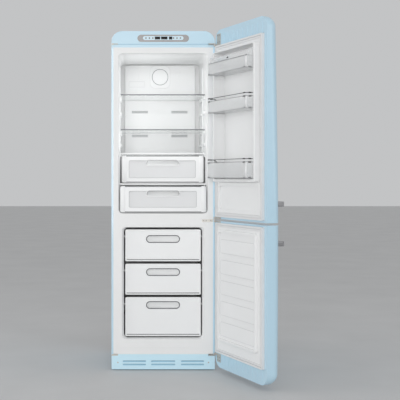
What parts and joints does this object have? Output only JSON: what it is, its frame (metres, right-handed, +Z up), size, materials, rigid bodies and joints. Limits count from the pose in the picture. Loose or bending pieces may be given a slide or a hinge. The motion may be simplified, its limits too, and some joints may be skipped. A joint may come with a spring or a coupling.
{
  "type": "two door fridge freezer",
  "caption": "Upright two-door refrigerator with a fridge above a freezer, glass shelves, crispers, freezer drawers, door bins and a rounded pastel cabinet.",
  "frame": {"origin": "on the floor, under the middle of the cabinet (doors and handles not counted)", "axes": "+Z up, +Y towards the wall behind, -Y out of the front, +X to the hinge side"},
  "size_m": [0.9155, 1.1525, 1.968],
  "materials": {
    "painted_steel_blue": "glossy pastel blue enamel",
    "blue_trim": "pastel blue moulded trim",
    "galvanised_steel": "plain galvanised sheet",
    "foam_fill": "rigid insulating foam",
    "white_liner": "satin white moulded plastic",
    "white_plastic": "satin white plastic",
    "light_lens": "milky light diffuser",
    "grey_metal": "satin grey metal",
    "pale_insert": "pale blue panel insert",
    "grey_plastic": "satin grey plastic",
    "screw_steel": "bare steel",
    "beige_plastic": "beige plastic",
    "black_enamel": "black enamelled steel",
    "evaporator_metal": "plain aluminium",
    "rubber_seal": "soft white seal",
    "black_rubber": "black rubber",
    "clear_plastic": "clear moulded plastic",
    "shelf_glass": "toughened glass",
    "chrome_handle": "polished chrome",
    "black_plastic": "black plastic"
  },
  "bodies": {
    "cabinet": {"cabinet_shell": "painted_steel_blue", "back_panel": "galvanised_steel", "cabinet_foam": "foam_fill", "front_frame": "white_liner", "fridge_liner": "white_liner", "freezer_liner": "white_liner", "air_duct_cover": "white_plastic", "fan_cover": "white_plastic", "side_light": "light_lens", "control_fascia": "blue_trim", "control_surround": "grey_metal", "control_insert": "pale_insert", "kick_plate": "blue_trim", "kick_plate_screws": "screw_steel", "hinge_slot_plugs": "beige_plastic", "hinge_brackets": "screw_steel", "base_pan": "galvanised_steel", "compressor": "black_enamel", "condenser": "black_enamel", "power_inlet": "black_plastic", "evaporator": "evaporator_metal", "evaporator_cover": "white_plastic", "crisper_divider": "white_plastic"},
    "fridge_fan": {"fridge_fan": "white_plastic"},
    "foot_left": {"foot_left": "black_plastic"},
    "foot_right": {"foot_right": "black_plastic"},
    "rear_rollers": {"rear_rollers": "black_plastic"},
    "shelf_upper": {"shelf_upper": "shelf_glass"},
    "shelf_lower": {"shelf_lower": "shelf_glass"},
    "crisper_cover": {"crisper_cover": "shelf_glass"},
    "crisper_upper": {"crisper_upper_tub": "clear_plastic", "crisper_upper_front": "white_plastic"},
    "crisper_lower": {"crisper_lower_tub": "clear_plastic", "crisper_lower_front": "white_plastic"},
    "freezer_drawer_top": {"freezer_drawer_top": "white_plastic"},
    "freezer_drawer_middle": {"freezer_drawer_middle": "white_plastic"},
    "freezer_drawer_bottom": {"freezer_drawer_bottom": "white_plastic"},
    "upper_door": {"upper_door_skin": "painted_steel_blue", "upper_door_foam": "foam_fill", "upper_door_liner": "white_liner", "upper_door_gasket": "rubber_seal", "upper_door_hinges": "screw_steel", "upper_door_handle": "chrome_handle"},
    "lower_door": {"lower_door_skin": "painted_steel_blue", "lower_door_foam": "foam_fill", "lower_door_liner": "white_liner", "lower_door_gasket": "rubber_seal", "lower_door_hinges": "screw_steel", "lower_door_handle": "chrome_handle"},
    "top_bin": {"top_bin": "clear_plastic"},
    "bin_lid": {"bin_lid": "clear_plastic"},
    "middle_bin": {"middle_bin": "clear_plastic"},
    "bottom_bin": {"bottom_bin": "clear_plastic"},
    "button_1": {"button_1": "grey_plastic"},
    "button_2": {"button_2": "grey_plastic"},
    "button_3": {"button_3": "grey_plastic"},
    "button_4": {"button_4": "grey_plastic"},
    "button_5": {"button_5": "grey_plastic"},
    "button_6": {"button_6": "grey_plastic"}
  },
  "joints": [
    {"name": "upper_door_hinge", "type": "hinge", "parent": "cabinet", "child": "upper_door", "pos_m": [0.297, -0.303, 1.42], "axis": [0, 0, 1], "range_deg": [-111, 9]},
    {"name": "lower_door_hinge", "type": "hinge", "parent": "cabinet", "child": "lower_door", "pos_m": [0.297, -0.303, 0.45], "axis": [0, 0, 1], "range_deg": [-111, 9]},
    {"name": "shelf_upper_slide", "type": "slide", "parent": "cabinet", "child": "shelf_upper", "axis": [0, -1, 0], "range_m": [0, 0.28]},
    {"name": "shelf_lower_slide", "type": "slide", "parent": "cabinet", "child": "shelf_lower", "axis": [0, -1, 0], "range_m": [0, 0.28]},
    {"name": "crisper_cover_slide", "type": "slide", "parent": "cabinet", "child": "crisper_cover", "axis": [0, -1, 0], "range_m": [0, 0.25]},
    {"name": "crisper_upper_slide", "type": "slide", "parent": "cabinet", "child": "crisper_upper", "axis": [0, -1, 0], "range_m": [0, 0.26]},
    {"name": "crisper_lower_slide", "type": "slide", "parent": "cabinet", "child": "crisper_lower", "axis": [0, -1, 0], "range_m": [0, 0.3]},
    {"name": "freezer_drawer_top_slide", "type": "slide", "parent": "cabinet", "child": "freezer_drawer_top", "axis": [0, -1, 0], "range_m": [0, 0.3]},
    {"name": "freezer_drawer_middle_slide", "type": "slide", "parent": "cabinet", "child": "freezer_drawer_middle", "axis": [0, -1, 0], "range_m": [0, 0.3]},
    {"name": "freezer_drawer_bottom_slide", "type": "slide", "parent": "cabinet", "child": "freezer_drawer_bottom", "axis": [0, -1, 0], "range_m": [0, 0.24]},
    {"name": "top_bin_lift", "type": "slide", "parent": "upper_door", "child": "top_bin", "axis": [0, 0, 1], "range_m": [0, 0.01]},
    {"name": "middle_bin_lift", "type": "slide", "parent": "upper_door", "child": "middle_bin", "axis": [0, 0, 1], "range_m": [0, 0.015]},
    {"name": "bottom_bin_lift", "type": "slide", "parent": "upper_door", "child": "bottom_bin", "axis": [0, 0, 1], "range_m": [0, 0.015]},
    {"name": "bin_lid_hinge", "type": "hinge", "parent": "top_bin", "child": "bin_lid", "pos_m": [0.35209, -0.59998, 1.792], "axis": [-0.3584, 0.9336, 0], "range_deg": [0, 75]},
    {"name": "fridge_fan_spin", "type": "hinge", "parent": "cabinet", "child": "fridge_fan", "pos_m": [0, 0.2335, 1.756], "axis": [0, 1, 0], "continuous": true},
    {"name": "rear_rollers_roll", "type": "hinge", "parent": "cabinet", "child": "rear_rollers", "pos_m": [0, 0.262, 0.012], "axis": [1, 0, 0], "continuous": true},
    {"name": "foot_left_turn", "type": "hinge", "parent": "cabinet", "child": "foot_left", "pos_m": [-0.25, -0.25, 0.03], "axis": [0, 0, 1], "range_deg": [-180, 180]},
    {"name": "foot_right_turn", "type": "hinge", "parent": "cabinet", "child": "foot_right", "pos_m": [0.25, -0.25, 0.03], "axis": [0, 0, 1], "range_deg": [-180, 180]},
    {"name": "button_1_press", "type": "slide", "parent": "cabinet", "child": "button_1", "axis": [0, 1, 0], "range_m": [0, 0.0008], "stiffness_N_per_m": 400},
    {"name": "button_2_press", "type": "slide", "parent": "cabinet", "child": "button_2", "axis": [0, 1, 0], "range_m": [0, 0.0008], "stiffness_N_per_m": 400},
    {"name": "button_3_press", "type": "slide", "parent": "cabinet", "child": "button_3", "axis": [0, 1, 0], "range_m": [0, 0.0008], "stiffness_N_per_m": 400},
    {"name": "button_4_press", "type": "slide", "parent": "cabinet", "child": "button_4", "axis": [0, 1, 0], "range_m": [0, 0.0008], "stiffness_N_per_m": 400},
    {"name": "button_5_press", "type": "slide", "parent": "cabinet", "child": "button_5", "axis": [0, 1, 0], "range_m": [0, 0.0008], "stiffness_N_per_m": 400},
    {"name": "button_6_press", "type": "slide", "parent": "cabinet", "child": "button_6", "axis": [0, 1, 0], "range_m": [0, 0.0008], "stiffness_N_per_m": 400}
  ]
}
